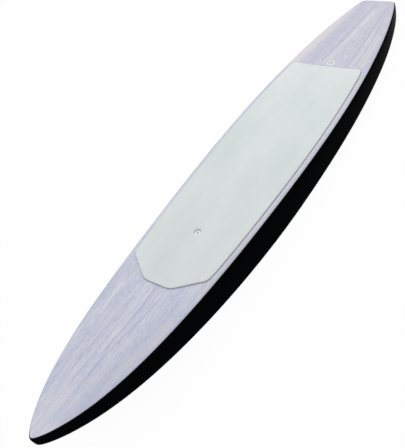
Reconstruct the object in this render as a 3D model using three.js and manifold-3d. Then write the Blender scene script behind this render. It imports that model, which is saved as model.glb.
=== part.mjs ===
// Downwind foil board: a long, narrow, thick board that a hydrofoil mast bolts under.
// Millimetres. +X runs to the nose, +Y to port, +Z up, and z = 0 is the flat of the bottom.
// A foam blank is wrapped in foam sheets and laminate, and plugs, tracks and a handle are let into it.
import * as THREE from 'three';
import { mergeVertices } from 'three/addons/utils/BufferGeometryUtils.js';
import Module from 'manifold-3d';

const wasm = await Module();
wasm.setup();

// Overall plan
const boardLength = 2417;
const boardWidth = 457;
const tailWidth = 149.5;
const tailRound = 11;
const tailCornerPower = 0.75;
const widestPointBehindMiddle = 122.7;
const rearCurvePower = 2.165;
const rearCurveFullnessPower = 0.806;
const noseCurvePower = 4.08;
const noseCurveFullnessPower = 0.858;
const noseDrawInShare = 0.668;
const noseTipTrim = 10.5;

// Side view: the shoulder line rises steadily to the nose, and the bottom is flat under the rider
const shoulderHeightAtTail = 88.2;
const shoulderHeightAtNose = 183.3;
const noseLift = 22.2;
const noseLiftLength = 964.5;
const noseLiftPower = 2;
const tailKick = 21.1;
const tailKickLength = 308.5;
const tailKickPower = 1.6;
const noseRocker = 159.3;
const noseRockerLength = 1208.5;
const noseRockerPower = 1.77;
const deckDish = 5;

// Rail section where the board is railFullThickness thick; it shrinks with the thickness
const railFullThickness = 130;
const shoulderTuck = 3.6;
const shoulderLeg = 20;
const railKnuckleShare = 0.5;
const railKnuckleLeg = 45;
const bottomTuck = 5.6;
const bottomCornerLeg = 14;

// Layers and fits
const skinThickness = 2.5;
const foamSheetThickness = 4;
const foamSheetRailMargin = 34;
const fitGap = 0.3;
const cutOverrun = 5;

// Standing area: a stiffer sheet under the deck, and a pad of two layers on it
const stanceSheetThickness = 6;
const stanceRear = -600;
const stanceFront = 240;
const stanceHalfWidth = 125;
const padRear = -688;
const padSideEnd = 485;
const padFront = 567.7;
const padFrontHalfWidth = 59.6;
const padRailMargin = 30.5;
const padCornerLeg = 22;
const padBaseThickness = 2.7;
const padTopThickness = 2.3;
const padSeatGap = 0.4;
const padVentHoleRadius = 14;

// Foil tracks: two moulded T-slots at the common 90 mm, and the four M8 nuts that slide in them
const trackSpacing = 90;
const trackX = -380;
const trackLength = 380;
const trackFlangeWidth = 34;
const trackBodyWidth = 26;
const trackEndWall = 5;
const slotWidth = 9;
const lipThickness = 6;
const channelWidth = 18.4;
const channelHeight = 8.6;
const trackRoofThickness = 4;
const nutEntryLength = 28;
const nutEntryRound = 4;
const nutSpacing = 165;
const nutLength = 24;
const nutCornerRadius = 2;
const nutThreadRadius = 3.4;
const trackBlockLength = 420;
const trackBlockWidth = 156;
const trackBlockRound = 12;

// Vent plug, square to the deck
const ventX = 315;
const ventFlangeRadius = 12.2;
const ventBodyRadius = 9.6;
const ventBodyDepth = 24;
const ventSeatRadius = 8.2;
const ventThreadRadius = 6;
const ventHeadRadius = 7.8;
const ventHeadThickness = 2.8;
const ventHeadSink = 0.2;
const ventRingWireRadius = 0.6;
const ventShankLength = 9;
const ventSocketAcrossFlats = 7;
const ventSocketDepth = 5;
const ventShelfDepth = 17;
const ventBreatherRadius = 1.5;
const ventMembraneThickness = 0.6;
const ventBlockRadius = 32;
const ventBlockDepth = 40;

// Leash plug, square to the deck, just behind the pad
const leashX = -721;
const leashFlangeRadius = 16.5;
const leashBodyRadius = 14.6;
const leashCupRadius = 12.4;
const leashCupDepth = 23;
const leashFloorThickness = 3;
const leashFloorRound = 5;
const leashPinRadius = 2;
const leashPinDepth = 8;
const leashPinBite = 1.6;
const leashBlockRadius = 34;
const leashBlockDepth = 44;

// Carry handle let into the bottom at the balance point
const handleX = -70;
const handleFlangeLength = 184;
const handleFlangeWidth = 86;
const handleFlangeRound = 34;
const handleMouthLength = 160;
const handleMouthWidth = 64;
const handleMouthRound = 24;
const handleWall = 3;
const handleDepth = 44;
const handleFloorRound = 8;
const handleLedgeLength = 21;
const gripWidth = 25;
const gripHeight = 17;
const gripPlanRound = 11;
const gripEdgeRound = 4;
const gripSink = 0.5;
const gripScrewInset = 10.5;
const gripScrewRadius = 2.4;
const gripScrewLength = 32;
const gripScrewHeadRadius = 4.8;
const gripScrewHeadHeight = 2.6;
const gripScrewHeadSink = 1;

// How finely curves are faceted, and where the rings of the surfaces lie
const tailEdgeSteps = 6;
const rearSteps = 11;
const noseSteps = 17;
const padSideSteps = 9;
const stanceSteps = 7;
const padCornerSteps = 3;
const straightEndSteps = 3;
const roundSteps = 20;
const smallRoundSteps = 12;
const cornerSteps = 4;
const nutCornerSteps = 2;
const edgeRoundSteps = 2;
const ringWireSteps = 6;
const mergeDistance = 0.001;
const deckRingShares = [0.28, 0.54, 0.78];
const sheetEndShare = 0.05;
const seamShare = 0.5;
const deckRailPlaces = [[0, 0], [0, 0.25]];
const hullRailPlaces = [[0, 0.75], [0, 1], [1, 0.5], [2, 0], [2, 0.35], [2, 0.65], [2, 1]];
const innerRailPlaces = [[0, 0.75], [1, 0.5], [2, 0], [2, 0.5], [2, 1]];

const tailX = -boardLength / 2;
const noseX = boardLength / 2;
const widestX = -widestPointBehindMiddle;
const blankOffset = skinThickness + fitGap;

// Laminate, foam, moulded and metal finishes
function finish(color, roughness, metalness) {
  return new THREE.MeshStandardMaterial({ color, roughness, metalness });
}
const whitewashedWood = finish(0xc6ccdc, 0.6, 0);
const blackLaminate = finish(0x08090c, 0.18, 0);
const blankFoam = finish(0xf4f4f0, 0.95, 0);
const sheetFoam = finish(0xd8c79a, 0.9, 0);
const blockFoam = finish(0xc9b27a, 0.85, 0);
const paleEva = finish(0xd8dfd8, 0.85, 0);
const darkEva = finish(0x55585a, 0.9, 0);
const blackNylon = finish(0x1b1c1e, 0.5, 0);
const whitePlastic = finish(0xf0f1f2, 0.35, 0);
const greyPlastic = finish(0xb9b3aa, 0.5, 0);
const blackRubber = finish(0x141414, 0.7, 0);
const whiteMembrane = finish(0xe9e9e6, 0.8, 0);
const stainless = finish(0xc4c6c8, 0.3, 1);
const brass = finish(0xb59a58, 0.35, 1);

const board = new THREE.Group();

const clampToOne = (value) => Math.min(1, Math.max(0, value));
const mix = (from, to, share) => from + (to - from) * share;
const mixPoints = (from, to, share) => from.map((value, axis) => mix(value, to[axis], share));

// The nose's share of the full width: a full curve to a point that draws in before it gets there
function noseShareAt(x) {
  const ahead = clampToOne((x - widestX) / (noseX + noseTipTrim - widestX));
  const drawIn = 1 - noseDrawInShare * ahead ** 2 * (1 - ahead);
  return (1 - ahead ** noseCurvePower) ** noseCurveFullnessPower * drawIn;
}

// Half the plan width at a station. The nose stops short of its curve's point and is round there,
// because the share at the trimmed tip is taken off in squares
function halfWidthAt(x) {
  if (x < widestX) {
    const back = clampToOne((widestX - x) / (widestX - tailX));
    const fullness = (1 - back ** rearCurvePower) ** rearCurveFullnessPower;
    return mix(tailWidth, boardWidth, fullness) / 2;
  }
  const tip = noseShareAt(noseX) ** 2;
  return boardWidth / 2 * Math.sqrt(Math.max(0, noseShareAt(x) ** 2 - tip) / (1 - tip));
}

function shoulderHeight(x) {
  const along = (x - tailX) / boardLength;
  const lift = clampToOne((x - noseX + noseLiftLength) / noseLiftLength) ** noseLiftPower;
  return mix(shoulderHeightAtTail, shoulderHeightAtNose, along) + noseLift * lift;
}

function bottomHeight(x) {
  const kick = clampToOne((tailX + tailKickLength - x) / tailKickLength) ** tailKickPower;
  const rocker = clampToOne((x - noseX + noseRockerLength) / noseRockerLength) ** noseRockerPower;
  return tailKick * kick + noseRocker * rocker;
}

const thicknessShare = (x) => (shoulderHeight(x) - bottomHeight(x)) / railFullThickness;

// A plan point moved in from the outline, as the whole outline shrinks towards the middle
const insetX = (x, inset) => x * (1 - 2 * inset / boardLength);
const insetY = (y, inset) => y * (1 - 2 * inset / boardWidth);

// Half-width of the dished part of the deck, inside the rounded shoulders
function deckHalfWidth(x) {
  const inset = (shoulderTuck + shoulderLeg) * thicknessShare(x);
  return insetY(halfWidthAt(x / (1 - 2 * inset / boardLength)), inset);
}

// The deck is lowest on the centreline, and level with the shoulder line at its edge
function deckHeight(x, y) {
  const edge = deckHalfWidth(x);
  if (edge <= 0) return shoulderHeight(x);
  const across = clampToOne(Math.abs(y) / edge);
  return shoulderHeight(x) - deckDish * (2 * edge / boardWidth) * (1 - across ** 2) ** 2;
}

// Plan outline of the port side, from the middle of the tail to the tip of the nose
function portOutline() {
  const points = [];
  for (let step = 0; step < tailEdgeSteps; step += 1) {
    const turn = Math.PI / 2 * (1 - step / tailEdgeSteps);
    const x = tailX + tailRound * (1 - Math.sin(turn) ** tailCornerPower);
    points.push([x, halfWidthAt(x) * Math.max(0, Math.cos(turn)) ** tailCornerPower]);
  }
  for (let step = 0; step < rearSteps; step += 1) {
    const x = mix(tailX + tailRound, widestX, step / rearSteps);
    points.push([x, halfWidthAt(x)]);
  }
  for (let step = 0; step <= noseSteps; step += 1) {
    const x = mix(widestX, noseX, Math.sin(Math.PI / 2 * step / noseSteps));
    points.push([x, halfWidthAt(x)]);
  }
  return points;
}

// A closed plan loop: the port points, which start and end on the centreline, and their mirror image
function closedLoop(port) {
  const mirrored = port.slice(1, -1).reverse().map(([x, y]) => [x, -y]);
  return [...port, ...mirrored];
}

const boardLoop = closedLoop(portOutline());

// A point on the quadratic curve that rounds a corner, which starts and ends one leg away from it
function roundedCorner(before, corner, after, leg, share) {
  const towards = (other) => {
    const distance = Math.hypot(other[0] - corner[0], other[1] - corner[1]);
    return mixPoints(corner, other, leg / distance);
  };
  const start = mixPoints(towards(before), corner, share);
  const end = mixPoints(corner, towards(after), share);
  return mixPoints(start, end, share);
}

// The knuckle's corner stands proud of the outline by as much as its rounding takes off, which
// is a quarter of each leg's own distance in
const upperSide = Math.hypot(shoulderTuck, railFullThickness * (1 - railKnuckleShare));
const lowerSide = Math.hypot(bottomTuck, railFullThickness * railKnuckleShare);
const upperShare = railKnuckleLeg / upperSide / 4;
const lowerShare = railKnuckleLeg / lowerSide / 4;
const roundingTake = shoulderTuck * upperShare + bottomTuck * lowerShare;
const knuckleProud = roundingTake / (1 - upperShare - lowerShare);

// Corner 0 of the rail section is the shoulder, 1 the knuckle at mid height, 2 the bottom edge.
// offset moves the section in by a layer's thickness, and shift slides the point along the curve.
function railSectionPoint(x, corner, share, offset, shift) {
  const scale = thicknessShare(x);
  const height = scale * railFullThickness - 2 * offset;
  const path = [
    [(shoulderTuck + shoulderLeg) * scale + shoulderLeg + offset, height],
    [shoulderTuck * scale + offset, height],
    [offset - knuckleProud * scale, height * railKnuckleShare],
    [bottomTuck * scale + offset, 0],
    [(bottomTuck + bottomCornerLeg) * scale + bottomCornerLeg + offset, 0],
  ];
  const leg = [shoulderLeg, railKnuckleLeg, bottomCornerLeg][corner] * scale - offset;
  const [before, at, after] = path.slice(corner);
  const [inset, up] = roundedCorner(before, at, after, leg, share + shift / (leg * Math.SQRT2));
  return { inset, upShare: up / height };
}

// One ring round the rail, at a place on its section
function railRing(corner, share, offset, shift = 0) {
  return boardLoop.map(([x, y]) => {
    const { inset, upShare } = railSectionPoint(x, corner, share, offset, shift);
    const px = insetX(x, inset);
    const py = insetY(y, inset);
    return new THREE.Vector3(px, py, mix(bottomHeight(px) + offset, deckHeight(px, py) - offset, upShare));
  });
}

// A ring of the deck between the shoulder, share 1, and the centreline, share 0
function deckRing(share, offset) {
  return railRing(0, 0, offset).map(({ x, y }) => (
    new THREE.Vector3(x, y * share, deckHeight(x, y * share) - offset)
  ));
}

const bottomCentreRing = (offset) => railRing(2, 1, offset).map(({ x }) => (
  new THREE.Vector3(x, 0, bottomHeight(x) + offset)
));

// Stitches each run of rings, all of one count, into triangles
function stitchRings(...runs) {
  const positions = [];
  for (const rings of runs) {
    rings.slice(1).forEach((lower, index) => {
      const upper = rings[index];
      upper.forEach((corner, station) => {
        const next = (station + 1) % upper.length;
        const quad = [corner, upper[next], lower[next], corner, lower[next], lower[station]];
        quad.forEach((point) => positions.push(...point.toArray()));
      });
    });
  }
  const geometry = new THREE.BufferGeometry();
  geometry.setAttribute('position', new THREE.Float32BufferAttribute(positions, 3));
  return geometry;
}

// A solid from a closed geometry: shared vertices are merged and collapsed triangles dropped
function solidFrom(geometry) {
  const bare = geometry.clone();
  bare.deleteAttribute('normal');
  bare.deleteAttribute('uv');
  const merged = mergeVertices(bare, mergeDistance);
  const index = merged.index.array;
  const triangles = [];
  for (let start = 0; start < index.length; start += 3) {
    const [a, b, c] = index.slice(start, start + 3);
    if (a !== b && b !== c && c !== a) triangles.push(a, b, c);
  }
  return new wasm.Manifold(new wasm.Mesh({
    numProp: 3,
    vertProperties: new Float32Array(merged.attributes.position.array),
    triVerts: new Uint32Array(triangles),
  }));
}

const without = (solid, ...cutters) => cutters.reduce((rest, cutter) => rest.subtract(cutter), solid);

// Adds one named piece to the board, or to a turned group on it
function addPiece(name, solid, material, parent = board) {
  const { vertProperties, triVerts } = solid.getMesh();
  const geometry = new THREE.BufferGeometry();
  geometry.setAttribute('position', new THREE.BufferAttribute(new Float32Array(vertProperties), 3));
  geometry.setIndex(new THREE.BufferAttribute(new Uint32Array(triVerts), 1));
  geometry.computeVertexNormals();
  const mesh = new THREE.Mesh(geometry, material);
  mesh.name = name;
  parent.add(mesh);
}

// Simple closed forms, all standing upright

function roundedBar(length, width, radius) {
  const shape = new THREE.Shape();
  const endX = length / 2 - radius;
  const sideY = width / 2 - radius;
  shape.absarc(endX, sideY, radius, 0, Math.PI / 2);
  shape.absarc(-endX, sideY, radius, Math.PI / 2, Math.PI);
  shape.absarc(-endX, -sideY, radius, Math.PI, Math.PI * 1.5);
  shape.absarc(endX, -sideY, radius, Math.PI * 1.5, Math.PI * 2);
  return shape;
}

// A plan shape carried from one height to another; edgeRound rounds its lower and upper edges over
function uprightForm(shape, low, high, edgeRound = 0, steps = cornerSteps) {
  const geometry = new THREE.ExtrudeGeometry(shape, {
    depth: high - low - 2 * edgeRound,
    curveSegments: steps,
    bevelEnabled: edgeRound > 0,
    bevelThickness: edgeRound,
    bevelSize: edgeRound,
    bevelOffset: -edgeRound,
    bevelSegments: edgeRoundSteps,
  });
  return geometry.translate(0, 0, low + edgeRound);
}

function roundRod(radius, low, high, steps = smallRoundSteps) {
  const rod = new THREE.CylinderGeometry(radius, radius, high - low, steps);
  return rod.rotateX(Math.PI / 2).translate(0, 0, (high + low) / 2);
}

// A profile of radius and height pairs, turned round the upright axis
function turnedForm(profile) {
  const points = profile.map(([radius, height]) => new THREE.Vector2(radius, height));
  return new THREE.LatheGeometry(points, roundSteps).rotateX(Math.PI / 2);
}

// The whole board shape, moved in by a layer's thickness
function boardSolid(offset) {
  return solidFrom(stitchRings([
    ...[0, ...deckRingShares].map((share) => deckRing(share, offset)),
    ...[...deckRailPlaces, [0, seamShare], ...innerRailPlaces].map((place) => railRing(...place, offset)),
    bottomCentreRing(offset),
  ]));
}

// The deck skin is a thin, curved lid that ends at the paint line on the rounded shoulder
function deckSkinSolid() {
  const surface = (offset) => [
    ...[0, ...deckRingShares].map((share) => deckRing(share, offset)),
    ...deckRailPlaces.map((place) => railRing(...place, offset)),
    railRing(0, seamShare, offset, -fitGap / 2),
  ];
  return solidFrom(stitchRings([...surface(0), ...surface(skinThickness).reverse()]));
}

// The hull shell is the tray under it: both rails and the bottom in one moulding
function hullShellSolid() {
  const surface = (offset, places) => [
    railRing(0, seamShare, offset, fitGap / 2),
    ...places.map((place) => railRing(...place, offset)),
    bottomCentreRing(offset),
  ];
  const outer = surface(0, hullRailPlaces);
  const inner = surface(skinThickness, innerRailPlaces);
  return solidFrom(stitchRings([...inner.reverse(), ...outer]));
}

// A sheet between two height functions over a plan loop. Each inner ring is drawn towards the
// centreline, and in from the ends by a share.
function sheetSolid(loop, upper, lower, innerShares = deckRingShares, endShare = sheetEndShare) {
  const ends = loop.map(([x]) => x);
  const middle = (Math.min(...ends) + Math.max(...ends)) / 2;
  const ring = (share, height) => loop.map(([x, y]) => {
    const px = mix(x, middle, endShare * (1 - share));
    return new THREE.Vector3(px, y * share, height(px, y * share));
  });
  const shares = [0, ...innerShares, 1];
  return solidFrom(stitchRings([
    ...shares.map((share) => ring(share, upper)),
    ...shares.map((share) => ring(share, lower)).reverse(),
  ]));
}

const insetLoop = (inset) => closedLoop(portOutline().map(([x, y]) => [insetX(x, inset), insetY(y, inset)]));
const belowDeck = (depth) => (x, y) => deckHeight(x, y) - depth;
const aboveBottom = (height) => (x) => bottomHeight(x) + height;

// A group that stands square to the deck at a station on the centreline
function deckSeat(x) {
  const seat = new THREE.Group();
  const slope = (deckHeight(x + padCornerLeg, 0) - deckHeight(x - padCornerLeg, 0)) / (2 * padCornerLeg);
  seat.position.set(x, 0, deckHeight(x, 0));
  seat.rotation.y = -Math.atan(slope);
  seat.updateMatrixWorld();
  board.add(seat);
  return seat;
}

const solidOn = (seat, geometry) => solidFrom(geometry.applyMatrix4(seat.matrixWorld));

// Room for a plug: its flange lies in the deck skin, and its body goes on down
function plugPocket(seat, flangeRadius, bodyRadius, bodyBottom) {
  const flange = roundRod(flangeRadius + fitGap, -blankOffset, cutOverrun, roundSteps);
  const body = roundRod(bodyRadius + fitGap, bodyBottom - fitGap, cutOverrun, roundSteps);
  return solidOn(seat, flange).add(solidOn(seat, body));
}

// Foam sheets bonded over the blank on both faces
const sheetLoop = insetLoop(foamSheetRailMargin);
const sheetPocketLoop = insetLoop(foamSheetRailMargin - fitGap);
const deckSheetBottom = blankOffset + foamSheetThickness;
const deckSheet = sheetSolid(sheetLoop, belowDeck(blankOffset), belowDeck(deckSheetBottom));
const deckSheetPocket = sheetSolid(
  sheetPocketLoop,
  belowDeck(-cutOverrun),
  belowDeck(deckSheetBottom + fitGap),
);
const bottomSheetTop = blankOffset + foamSheetThickness;

// The bottom's sheet has its stations at those of the bottom, so that the two stay parallel, and
// it ends in a blunt point at the tail and at the nose
function bottomSheetSolid(grow, low, high) {
  const margin = foamSheetRailMargin - grow;
  const clear = 2 * foamSheetRailMargin;
  const ring = railRing(2, 1, blankOffset).filter(({ x, y }) => x > tailX + clear && y > clear);
  const side = ring.map(({ x, y }) => [x, y - margin]);
  const [rearX] = side[0];
  const [frontX] = side.at(-1);
  const ends = [rearX - margin / 2, frontX + margin / 2];
  const loop = closedLoop([[ends[0] - 2 * grow, 0], ...side, [ends[1] + 2 * grow, 0]]);
  return sheetSolid(loop, aboveBottom(high), aboveBottom(low), [], 0);
}
const bottomSheet = bottomSheetSolid(0, blankOffset, bottomSheetTop);
const bottomSheetPocket = bottomSheetSolid(fitGap, -cutOverrun, bottomSheetTop + fitGap);

// Points along a straight end, from the centreline to just before its corner
function acrossEnd(x, halfWidth) {
  return Array.from({ length: straightEndSteps }, (unused, step) => [x, halfWidth * step / straightEndSteps]);
}

// The stiff sheet under the rider's feet, let into the blank below the deck's foam sheet
function stanceLoop(grow) {
  const [rearX, frontX] = [stanceRear - grow, stanceFront + grow];
  const sideY = stanceHalfWidth + grow;
  const side = [];
  for (let step = 0; step <= stanceSteps; step += 1) {
    side.push([mix(rearX, frontX, step / stanceSteps), sideY]);
  }
  return closedLoop([...acrossEnd(rearX, sideY), ...side, ...acrossEnd(frontX, sideY).reverse()]);
}
const stanceTop = deckSheetBottom + fitGap;
const stanceBottom = stanceTop + stanceSheetThickness;
const stanceSheet = sheetSolid(stanceLoop(0), belowDeck(stanceTop), belowDeck(stanceBottom));
const stancePocket = sheetSolid(
  stanceLoop(fitGap),
  belowDeck(stanceTop - fitGap),
  belowDeck(stanceBottom + fitGap),
);

// Plan shapes of the track, each a long bar with round ends
const roundEnded = (length, width) => roundedBar(length, width, width / 2);
const channelLength = trackLength - 2 * trackEndWall;
const channelTop = lipThickness + channelHeight;
const trackTop = channelTop + trackRoofThickness;
const trackFlangeLength = trackLength + trackFlangeWidth - trackBodyWidth;

function trackForm(side) {
  const placed = (geometry) => solidFrom(geometry.translate(trackX, side * trackSpacing / 2, 0));
  const flange = placed(uprightForm(roundEnded(trackFlangeLength, trackFlangeWidth), 0, skinThickness));
  const body = placed(uprightForm(roundEnded(trackLength, trackBodyWidth), 0, trackTop));
  const slotLength = channelLength - channelWidth + slotWidth;
  const slot = placed(uprightForm(roundEnded(slotLength, slotWidth), -cutOverrun, channelTop));
  const channel = placed(uprightForm(roundEnded(channelLength, channelWidth), lipThickness, channelTop));
  const entryShape = roundedBar(nutEntryLength, channelWidth, nutEntryRound);
  const entry = placed(uprightForm(entryShape, -cutOverrun, channelTop));
  return without(flange.add(body), slot, channel, entry);
}

function trackPocket(side) {
  const placed = (geometry) => solidFrom(geometry.translate(trackX, side * trackSpacing / 2, 0));
  const flangeRoom = roundEnded(trackFlangeLength + 2 * fitGap, trackFlangeWidth + 2 * fitGap);
  const bodyRoom = roundEnded(trackLength + 2 * fitGap, trackBodyWidth + 2 * fitGap);
  const flange = placed(uprightForm(flangeRoom, -cutOverrun, blankOffset));
  return flange.add(placed(uprightForm(bodyRoom, -cutOverrun, trackTop + fitGap)));
}

// A nut slides on the lips with a little play all round, and takes a bolt through the slot
function nutForm(side, end) {
  const shape = roundedBar(nutLength, channelWidth - 2 * fitGap, nutCornerRadius);
  const thread = new THREE.Path();
  for (const quarter of [0, 1, 2, 3]) {
    thread.absarc(0, 0, nutThreadRadius, Math.PI / 2 * quarter, Math.PI / 2 * (quarter + 1));
  }
  shape.holes.push(thread);
  const nut = uprightForm(shape, lipThickness + fitGap, channelTop - fitGap, 0, nutCornerSteps);
  return solidFrom(nut.translate(trackX + end * nutSpacing / 2, side * trackSpacing / 2, 0));
}

// The dense block that carries the tracks' load from the bottom skin up to the stance sheet
function trackBlockPrism(grow) {
  const shape = roundedBar(trackBlockLength + 2 * grow, trackBlockWidth + 2 * grow, trackBlockRound + grow);
  return solidFrom(uprightForm(shape, -cutOverrun, shoulderHeightAtNose).translate(trackX, 0, 0));
}

const trackSides = [['port', 1], ['starboard', -1]];
const trackPockets = trackSides.map(([, side]) => trackPocket(side));

// The vent: a flanged housing with a membrane on its floor and a screw that seals it on a ring
const ventSeat = deckSeat(ventX);
const ventHeadBottom = -ventHeadSink - ventHeadThickness;
const ventRingFloor = ventHeadBottom - 2 * (fitGap + ventRingWireRadius);
const ventHousingForm = turnedForm([
  [ventBreatherRadius, -ventBodyDepth],
  [ventBodyRadius, -ventBodyDepth],
  [ventBodyRadius, -skinThickness],
  [ventFlangeRadius, -skinThickness],
  [ventFlangeRadius, 0],
  [ventSeatRadius, 0],
  [ventSeatRadius, ventRingFloor],
  [ventThreadRadius + fitGap, ventRingFloor],
  [ventThreadRadius + fitGap, -ventShelfDepth],
  [ventBreatherRadius, -ventShelfDepth],
  [ventBreatherRadius, -ventBodyDepth],
]);
const ventShelfTop = -ventShelfDepth + fitGap;
const ventMembraneForm = roundRod(
  ventThreadRadius,
  ventShelfTop,
  ventShelfTop + ventMembraneThickness,
  roundSteps,
);
const ventRingForm = new THREE.TorusGeometry(
  (ventThreadRadius + ventSeatRadius) / 2,
  ventRingWireRadius,
  ringWireSteps,
  roundSteps,
).translate(0, 0, (ventHeadBottom + ventRingFloor) / 2);
const ventScrewForm = turnedForm([
  [0, ventHeadBottom - ventShankLength],
  [ventThreadRadius, ventHeadBottom - ventShankLength],
  [ventThreadRadius, ventHeadBottom],
  [ventHeadRadius, ventHeadBottom],
  [ventHeadRadius, -ventHeadSink],
  [0, -ventHeadSink],
]);
const hexSides = 6;
const socketRadius = ventSocketAcrossFlats / (2 * Math.cos(Math.PI / hexSides));
const ventSocketForm = roundRod(socketRadius, -ventHeadSink - ventSocketDepth, cutOverrun, hexSides);
const ventPocket = plugPocket(ventSeat, ventFlangeRadius, ventBodyRadius, -ventBodyDepth);
const ventBlockRoom = (grow) => (
  solidOn(ventSeat, roundRod(ventBlockRadius + grow, -ventBlockDepth - grow, cutOverrun, roundSteps))
);

// The leash plug: a cup with a round floor, and a pin across it for the leash string
const leashSeat = deckSeat(leashX);
const floorCurve = [];
for (let step = 0; step <= edgeRoundSteps; step += 1) {
  const turn = Math.PI / 2 * step / edgeRoundSteps;
  floorCurve.push([
    leashCupRadius - leashFloorRound * (1 - Math.cos(turn)),
    -leashCupDepth + leashFloorRound * (1 - Math.sin(turn)),
  ]);
}
const leashBodyBottom = -leashCupDepth - leashFloorThickness;
const leashCupForm = turnedForm([
  [0, leashBodyBottom],
  [leashBodyRadius, leashBodyBottom],
  [leashBodyRadius, -skinThickness],
  [leashFlangeRadius, -skinThickness],
  [leashFlangeRadius, 0],
  [leashCupRadius, 0],
  ...floorCurve,
  [0, -leashCupDepth],
]);
function leashPinForm(grow) {
  const halfSpan = leashCupRadius + leashPinBite + grow;
  const radius = leashPinRadius + grow;
  const pin = new THREE.CylinderGeometry(radius, radius, 2 * halfSpan, smallRoundSteps);
  return pin.translate(0, 0, -leashPinDepth);
}
const leashPocket = plugPocket(leashSeat, leashFlangeRadius, leashBodyRadius, leashBodyBottom);
const leashBlockRoom = (grow) => (
  solidOn(leashSeat, roundRod(leashBlockRadius + grow, -leashBlockDepth - grow, cutOverrun, roundSteps))
);

// The carry handle: a tub with two end ledges, and a grip that bridges them and is screwed down
const atHandle = (geometry, alongX = 0) => solidFrom(geometry.translate(handleX + alongX, 0, 0));
const ledgeHeight = gripSink + gripHeight + fitGap;
const tubTop = handleDepth + handleWall;

function handleTubBody(grow) {
  const length = handleMouthLength + 2 * (handleWall + grow);
  const width = handleMouthWidth + 2 * (handleWall + grow);
  const shape = roundedBar(length, width, handleMouthRound + handleWall + grow);
  return atHandle(uprightForm(shape, -grow, tubTop + grow));
}

function handleFlange(grow, low, high) {
  const length = handleFlangeLength + 2 * grow;
  const width = handleFlangeWidth + 2 * grow;
  return atHandle(uprightForm(roundedBar(length, width, handleFlangeRound + grow), low, high));
}

const gripEnds = [['front', 1], ['rear', -1]];
const gripScrewPlaces = gripEnds.map(([, end]) => end * (handleMouthLength / 2 - gripScrewInset));
const screwBottom = gripSink + gripScrewHeadSink;

function gripScrewRoom(alongX) {
  const shank = roundRod(gripScrewRadius + fitGap, -cutOverrun, screwBottom + gripScrewLength + fitGap);
  const headRoomTop = screwBottom + gripScrewHeadHeight + fitGap;
  const head = roundRod(gripScrewHeadRadius + fitGap, -cutOverrun, headRoomTop);
  return atHandle(shank, alongX).add(atHandle(head, alongX));
}

function gripScrew(alongX) {
  const shank = roundRod(gripScrewRadius, screwBottom, screwBottom + gripScrewLength);
  const head = roundRod(gripScrewHeadRadius, screwBottom, screwBottom + gripScrewHeadHeight);
  return atHandle(head, alongX).add(atHandle(shank, alongX));
}

function handleTubSolid() {
  const mouthShape = roundedBar(handleMouthLength, handleMouthWidth, handleMouthRound);
  const wellLength = handleMouthLength - 2 * handleLedgeLength;
  const wellShape = roundedBar(wellLength, handleMouthWidth, handleMouthRound);
  const mouth = atHandle(uprightForm(mouthShape, -cutOverrun, ledgeHeight));
  const wellStart = -cutOverrun - handleFloorRound;
  const well = atHandle(uprightForm(wellShape, wellStart, handleDepth, handleFloorRound));
  const outside = handleTubBody(0).add(handleFlange(0, 0, skinThickness));
  return without(outside, mouth, well, ...gripScrewPlaces.map(gripScrewRoom));
}

function handleGripSolid() {
  const length = handleMouthLength - 2 * fitGap;
  const shape = roundedBar(length, gripWidth, gripPlanRound);
  const bar = atHandle(uprightForm(shape, gripSink, gripSink + gripHeight, gripEdgeRound));
  return without(bar, ...gripScrewPlaces.map(gripScrewRoom));
}

const handlePocket = handleTubBody(fitGap).add(handleFlange(fitGap, -cutOverrun, blankOffset));

// The pad: its sides keep one margin from the rail, its front is cut off on the slant
function padLoop() {
  const sideY = (x) => halfWidthAt(x) - padRailMargin;
  const corners = [
    [padRear, 0],
    [padRear, sideY(padRear)],
    [padSideEnd, sideY(padSideEnd)],
    [padFront, padFrontHalfWidth],
    [padFront, 0],
  ];
  const roundedAt = (index) => {
    const [before, corner, after] = corners.slice(index - 1, index + 2);
    const shares = Array.from({ length: padCornerSteps + 1 }, (unused, step) => step / padCornerSteps);
    return shares.map((share) => roundedCorner(before, corner, after, padCornerLeg, share));
  };
  const side = [];
  for (let step = 1; step < padSideSteps; step += 1) {
    const x = mix(padRear, padSideEnd, step / padSideSteps);
    side.push([x, sideY(x)]);
  }
  return closedLoop([
    ...acrossEnd(padRear, sideY(padRear) - padCornerLeg),
    ...roundedAt(1),
    ...side,
    ...roundedAt(2),
    ...roundedAt(3),
    ...acrossEnd(padFront, padFrontHalfWidth - padCornerLeg).reverse(),
  ]);
}

function padLayer(low, high) {
  const layer = sheetSolid(padLoop(), belowDeck(-high), belowDeck(-low));
  const overPad = padSeatGap + padBaseThickness + fitGap + padTopThickness + cutOverrun;
  return without(layer, solidOn(ventSeat, roundRod(padVentHoleRadius, -cutOverrun, overPad, roundSteps)));
}

const padBaseTop = padSeatGap + padBaseThickness;
const padTopBottom = padBaseTop + fitGap;

// The blank is what the sheets, blocks and pockets leave over
const blank = boardSolid(blankOffset);
const coredBlank = without(blank, deckSheetPocket, stancePocket);
const trackBlock = coredBlank.intersect(trackBlockPrism(0));
const ventBlock = coredBlank.intersect(ventBlockRoom(0));
const leashBlock = coredBlank.intersect(leashBlockRoom(0));
const foamCore = without(
  coredBlank,
  bottomSheetPocket,
  trackBlockPrism(fitGap),
  ventBlockRoom(fitGap),
  leashBlockRoom(fitGap),
  handlePocket,
);

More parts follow.
